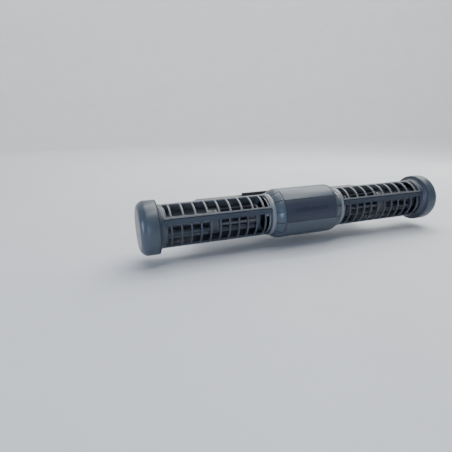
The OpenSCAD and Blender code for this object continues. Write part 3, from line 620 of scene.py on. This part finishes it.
def add_grilles(side, sign):
    """Both halves of a cage; the lower one has a proud band and a tongue at its upper edge."""
    upper = Grille(sign, ribs=9, pitch=11.6 * MM, rows=UPPER_WINDOWS,
                   edges=(BACK_GAP - BACK_SEAM, 180 - UPPER_EDGE))
    stand_for(new_piece(side + "_upper_ribs", upper.bm), side + "_upper_grille")
    lower = Grille(sign, ribs=11, pitch=9.4 * MM, rows=LOWER_WINDOWS,
                   edges=(180 - BAND_TOP, 360 - BACK_SEAM))
    stand_for(new_piece(side + "_lower_ribs", lower.bm), side + "_lower_grille")
    stations = (sign * CAGE_X0, sign * CAGE_X1)
    band = curved_plate(side + "_band", stations, (CAGE_R - 1 * MM, CAGE_R + BAND_PROUD),
                        (180 - BAND_TOP, 180 - BAND_FOOT), 0.25 * MM, steps=6)
    # the tongue is the groove's floor, from beside the upper grille to under the band
    tongue = curved_plate(side + "_tongue", stations, (CAGE_BORE_R, CAGE_R - GROOVE_DEEP),
                          (180.3 - UPPER_EDGE, 181 - BAND_TOP), 0.1 * MM, steps=2)
    for piece in (band, tongue):
        ride_along(piece, side + "_lower_grille", "grille_plastic")


def add_flare(side, sign):
    """The concave ring between cage and cap, with the spigot that the cap twists on."""
    lip_x = CAP_X - 1.0 * MM
    face_x = CAP_X - 0.3 * MM
    edge_r = CAP_R - 0.1 * MM
    cut = 0.15 * MM                         # of the lip's two corners
    sleeve_x = CAGE_X1 - SLEEVE_REACH
    spigot_x = face_x + 6 * MM
    spigot_r = CAP_R - 3.0 * MM
    spigot_bore = spigot_r - 2.3 * MM
    outline = [(sleeve_x, COLLAR_BORE_R), (sleeve_x, SLEEVE_R),
               (CAGE_X1, SLEEVE_R), (CAGE_X1, CAGE_R)]
    outline += curve((CAGE_X1 + 0.01 * MM, CAGE_R), (lip_x - 0.6 * MM, CAGE_R + 0.2 * MM),
                     (lip_x, edge_r - cut), steps=16)
    outline += [(lip_x, edge_r - cut), (lip_x + cut, edge_r), (face_x - cut, edge_r),
                (face_x, edge_r - cut), (face_x, spigot_r), (spigot_x, spigot_r),
                (spigot_x, spigot_bore), (face_x + 1 * MM, spigot_bore),
                (face_x - 2 * MM, COLLAR_BORE_R)]
    stand_for(lathe(side + "_flare", outline, sign), side + "_flare_ring")


def add_cap(side, sign):
    """The end cap: a cup with a crisp line where its rounded corner begins."""
    edge_x = END_X - 6.2 * MM
    face_r = CAP_R - 5.4 * MM
    bore = CAP_R - 2.6 * MM
    floor_x = END_X - 3 * MM
    outline = [(CAP_X, bore), (CAP_X, CAP_R - 0.35 * MM), (CAP_X + 0.12 * MM, CAP_R - 0.12 * MM),
               (CAP_X + 0.35 * MM, CAP_R), (edge_x - 0.2 * MM, CAP_R), (edge_x, CAP_R - 0.03 * MM)]
    outline += curve((edge_x + 0.1 * MM, CAP_R - 0.08 * MM), (END_X - 1.8 * MM, CAP_R - 1.8 * MM),
                     (END_X - 0.4 * MM, face_r), steps=14)
    outline += curve((END_X - 0.4 * MM, face_r), (END_X - 0.1 * MM, face_r * 0.93),
                     (END_X - 0.05 * MM, face_r * 0.7), steps=6)
    outline += [(END_X - 0.05 * MM, face_r * 0.7), (END_X, 0), (floor_x, 0),
                (floor_x, bore - 4 * MM), (floor_x - 4 * MM, bore)]
    stand_for(lathe(side + "_cup", outline, sign), side + "_end_cap")


for side, sign in SIDES.items():
    add_collar(side, sign)
    add_painted_mark_shade(side, sign)
    add_base_ring(side, sign)
    add_grilles(side, sign)
    add_flare(side, sign)
    add_cap(side, sign)


# ---------- floor and light ----------

def add_floor():
    """A pale round floor under the pump, which curves up into a wall far away on all sides."""
    level = cad_low.z - 4 * MM              # the pump is held by its pad, just above this
    disc_r, reach, bend_r, top, steps = 0.5, 2.6, 1, 4, 96
    turns = [math.radians(a) for a in range(0, 91, 6)]
    profile = [(disc_r, level)]
    profile += [(reach + bend_r * math.sin(t), level + bend_r * (1 - math.cos(t))) for t in turns]
    profile.append((reach + bend_r, top))
    bm = bmesh.new()
    rows = []
    for k in range(steps):
        turn = 2 * math.pi * k / steps
        rows.append([bm.verts.new((r * math.cos(turn), r * math.sin(turn), z)) for r, z in profile])
    bm.faces.new([row[0] for row in rows])
    for row, following in zip(rows, rows[1:] + rows[:1]):
        for k in range(1, len(profile)):
            bm.faces.new((row[k - 1], row[k], following[k], following[k - 1]))
    floor = new_piece("floor", bm)
    nodes = Nodes("floor")
    nodes.tint((0.6, 0.61, 0.62), nodes.noise(8), 0.02)
    nodes.rough(nodes.noise(30), 0.6, 0.7)
    floor.data.materials.append(nodes.material)


def add_softbox(name, place, size, watts, colour=(1, 1, 1), target=AXIS):
    """An area light aimed at the pump or at another target."""
    light = bpy.data.objects.new(name, bpy.data.lights.new(name, "AREA"))
    light.data.shape = "RECTANGLE"
    light.data.size, light.data.size_y = size
    light.data.energy = watts
    light.data.color = colour
    light.location = place
    light.rotation_euler = (Vector(target) - Vector(place)).to_track_quat("-Z", "Y").to_euler()
    light.visible_camera = False
    bpy.context.scene.collection.objects.link(light)


def add_sky(colour, strength):
    """Faint light from all round."""
    world = bpy.data.worlds.new("studio")
    world.use_nodes = True
    sky = world.node_tree.nodes["Background"]
    sky.inputs["Color"].default_value = colour
    sky.inputs["Strength"].default_value = strength
    bpy.context.scene.world = world


add_floor()
add_softbox("top_softbox", (0.36, 0.32, 0.95), (1.0, 1.5), 15, (0.95, 0.975, 1))
add_softbox("window_strip", (0.1, -0.33, 0.86), (1.2, 0.12), 3.5, (0.97, 0.985, 1))
add_softbox("shoulder_strip", (-0.36, -0.9, 0.09), (0.1, 0.2), 4, (0.45, 0.65, 1))
add_softbox("cap_strip", (-0.84, -0.17, 0.09), (0.06, 0.22), 2.2, (0.55, 0.6, 1),
            target=(-END_X, AXIS.y, 0))
add_softbox("right_strip", (0.95, 0.25, 0.15), (0.08, 0.5), 2, (1, 0.9, 0.8))
add_softbox("backdrop_light", (0.3, 1.0, 2.2), (4, 0.6), 110, target=(0.6, 3, 0.6))
add_sky((0.85, 0.92, 1, 1), 0.3)
